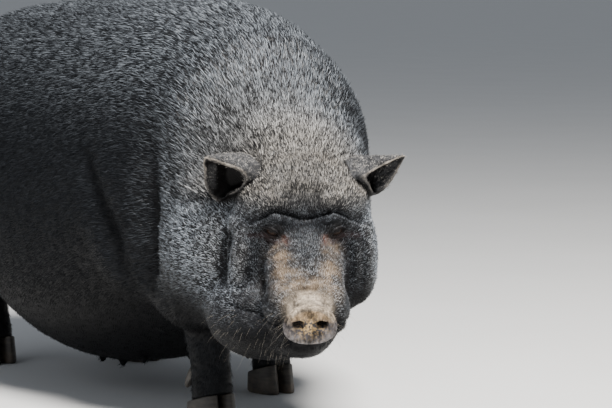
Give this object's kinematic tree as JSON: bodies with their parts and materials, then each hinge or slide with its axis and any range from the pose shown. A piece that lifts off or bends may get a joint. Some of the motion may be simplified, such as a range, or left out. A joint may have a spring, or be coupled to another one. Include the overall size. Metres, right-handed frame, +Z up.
{
  "type": "standing pot-bellied pig",
  "caption": "Still life-size model of a heavy black pot-bellied sow standing square with lowered, slightly turned head and hanging belly.",
  "frame": {"origin": "bottom centre of the bounding box, on the floor under the animal", "axes": "+X to the animal's left side, +Y to its rump, so it faces -Y, +Z up"},
  "size_m": [0.4628, 1.138, 0.5349],
  "materials": {
    "skin": "matte black-grey skin with short bristles",
    "snout_skin": "bare, slightly moist nose skin",
    "eye": "glossy dark brown",
    "horn": "dull hoof horn"
  },
  "bodies": {
    "root": {"torso": "skin", "neck": "skin", "head": "skin", "lower_jaw": "skin", "snout": "snout_skin", "ear_left": "skin", "ear_right": "skin", "eye_left": "eye", "eye_right": "eye", "tail": "skin", "leg_front_left": "skin", "leg_front_right": "skin", "leg_hind_left": "skin", "leg_hind_right": "skin", "hoof_front_left_inner": "horn", "hoof_front_left_outer": "horn", "hoof_front_right_inner": "horn", "hoof_front_right_outer": "horn", "hoof_hind_left_inner": "horn", "hoof_hind_left_outer": "horn", "hoof_hind_right_inner": "horn", "hoof_hind_right_outer": "horn", "dewclaw_front_left_inner": "horn", "dewclaw_front_left_outer": "horn", "dewclaw_front_right_inner": "horn", "dewclaw_front_right_outer": "horn", "dewclaw_hind_left_inner": "horn", "dewclaw_hind_left_outer": "horn", "dewclaw_hind_right_inner": "horn", "dewclaw_hind_right_outer": "horn"}
  },
  "joints": []
}
